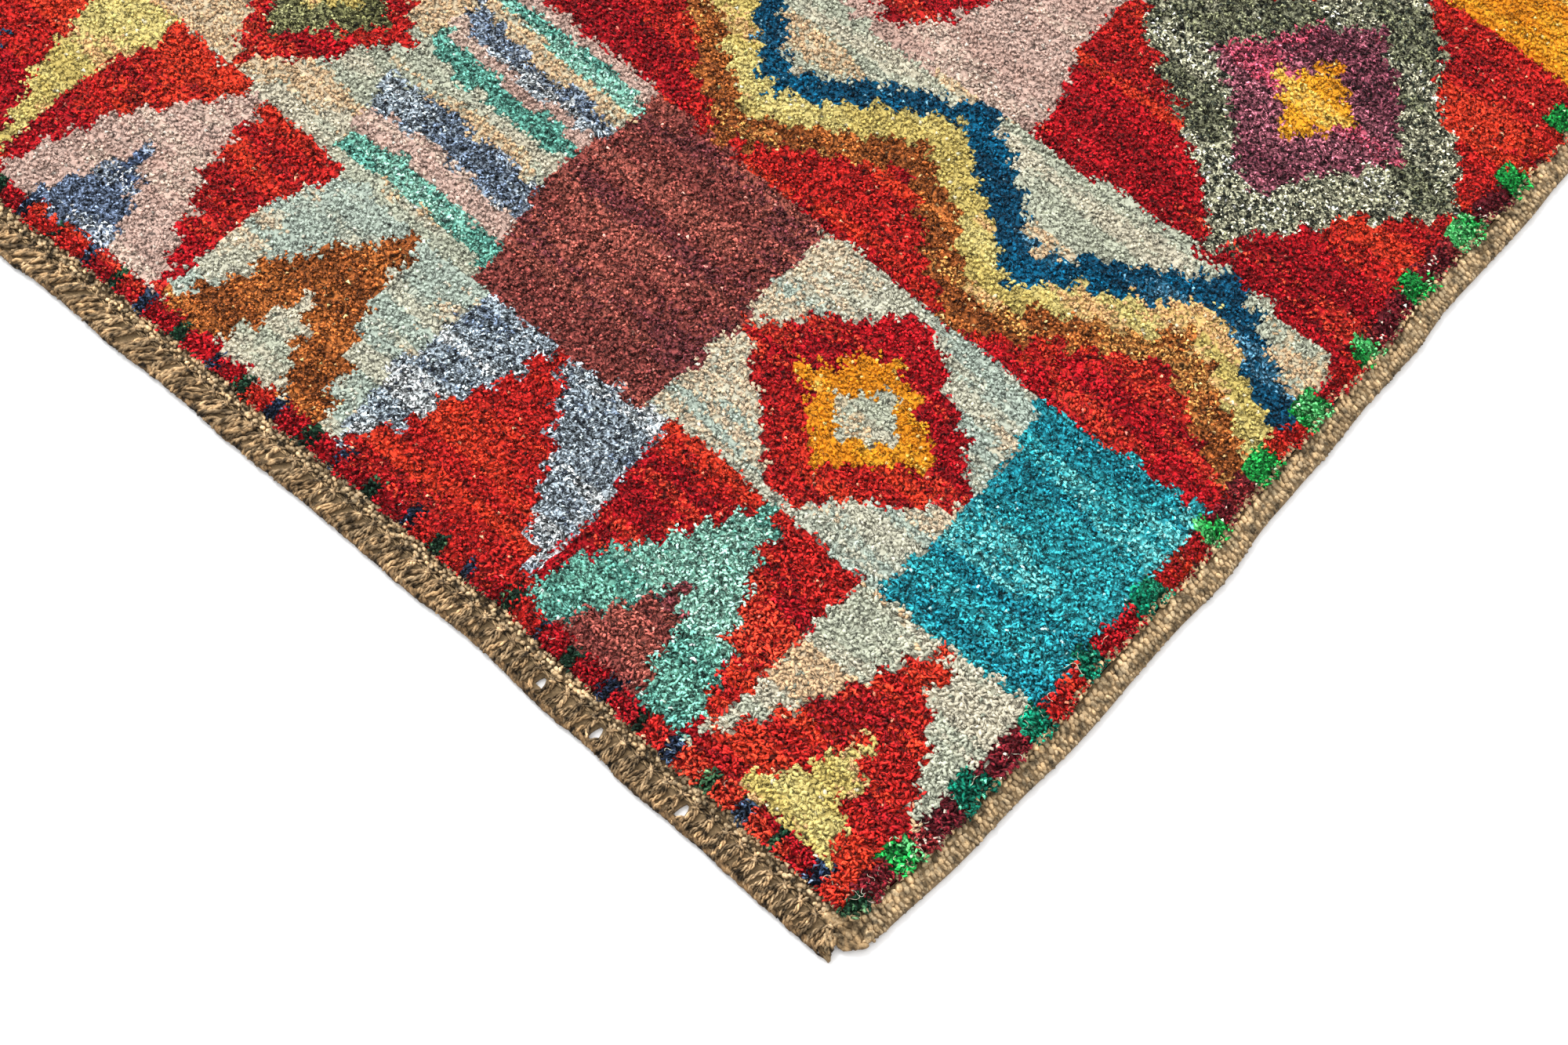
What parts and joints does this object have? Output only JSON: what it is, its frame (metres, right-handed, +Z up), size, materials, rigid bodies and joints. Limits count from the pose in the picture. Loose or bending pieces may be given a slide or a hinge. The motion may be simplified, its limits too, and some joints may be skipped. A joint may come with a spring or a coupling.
{
  "type": "hand-knotted wool pile rug",
  "caption": "Flat hand-knotted wool pile rug with wrapped selvedges and tied, plaited warp ends in undyed yarn, with a patchwork-coloured field in a spotted guard stripe.",
  "frame": {"origin": "on the floor, under the middle of the rug", "axes": "+X across the rug along its wefts, +Y along the rug with its warps, +Z up out of the pile"},
  "size_m": [1.2115, 1.8071, 0.011],
  "materials": {
    "pile": "cut wool pile, matt, in many dyed colours",
    "selvedge": "undyed wool wrapping, matt",
    "weft_band": "undyed wool weft band, matt",
    "plait": "undyed plied warps, matt"
  },
  "bodies": {
    "root": {"pile_field": "pile", "selvedge_plus_x": "selvedge", "selvedge_minus_x": "selvedge", "weft_band_near": "weft_band", "weft_band_far": "weft_band", "plait_near": "plait", "plait_far": "plait"}
  },
  "joints": []
}
